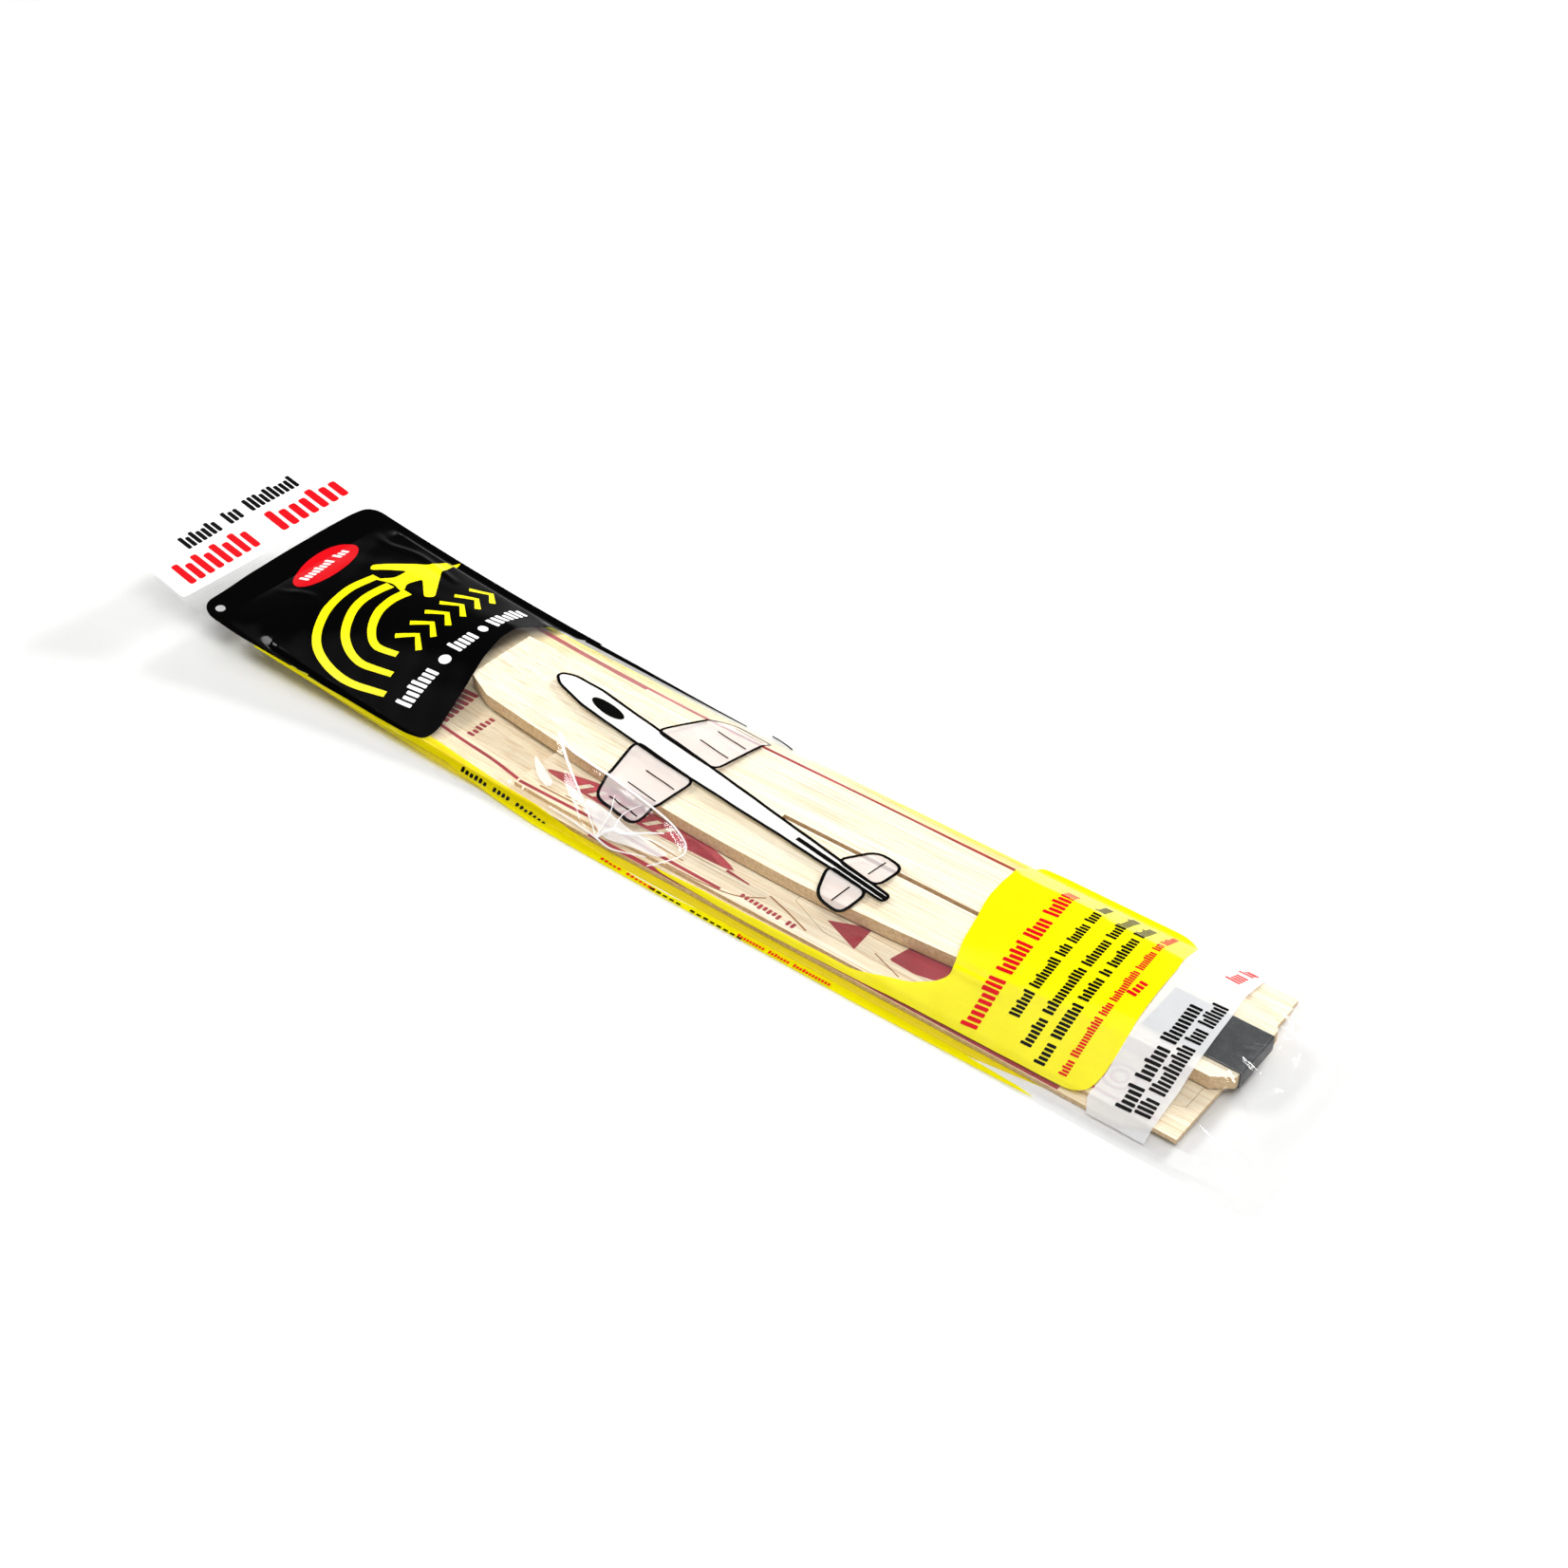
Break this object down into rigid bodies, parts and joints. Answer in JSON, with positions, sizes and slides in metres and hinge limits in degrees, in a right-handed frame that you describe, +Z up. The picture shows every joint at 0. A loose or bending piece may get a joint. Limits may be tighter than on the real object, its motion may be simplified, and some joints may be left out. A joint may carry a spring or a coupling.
{
  "type": "packaged balsa hand glider",
  "caption": "Flat-packed balsa hand glider in a long clear printed film bag: wing, die-cut tail sheet, fuselage and folded metal nose weight stacked inside.",
  "frame": {"origin": "middle of the pack's outline, on the surface it lies on", "axes": "+X along the pack towards the nose weight, +Y across it, +Z up"},
  "size_m": [0.475, 0.0888, 0.0263],
  "materials": {
    "film_back": "clear glossy film, printed yellow with a white edge strip",
    "film_front": "clear glossy film with printed panels",
    "film_header": "glossy film printed white",
    "balsa_wing": "unfinished balsa, printed with crimson stripes",
    "balsa_sheet": "unfinished balsa, die cut",
    "balsa_tailplane": "unfinished balsa",
    "balsa_fin": "unfinished balsa",
    "balsa_canopy": "unfinished balsa, printed crimson",
    "balsa_body": "unfinished balsa",
    "weight_metal": "dark satin strip with fine scratches"
  },
  "bodies": {
    "bag": {"bag_back_film": "film_back", "bag_front_film": "film_front", "wing": "balsa_wing"},
    "header": {"header_flap": "film_header"},
    "tail_sheet": {"die_cut_sheet": "balsa_sheet", "tailplane": "balsa_tailplane", "fin": "balsa_fin", "canopy": "balsa_canopy"},
    "body": {"fuselage": "balsa_body", "nose_weight": "weight_metal"}
  },
  "joints": [
    {"name": "header_fold", "type": "hinge", "parent": "bag", "child": "header", "pos_m": [-0.2019, 0, 0.01633], "axis": [0, 1, 0], "range_deg": [-30, 110], "stiffness_Nm_per_rad": 0.0012, "springref_deg": 5.73},
    {"name": "body_slide", "type": "slide", "parent": "bag", "child": "body", "axis": [1, 0, 0], "range_m": [-0.012, 0.004]},
    {"name": "sheet_slide", "type": "slide", "parent": "bag", "child": "tail_sheet", "axis": [1, 0, 0], "range_m": [0, 0.006]}
  ]
}
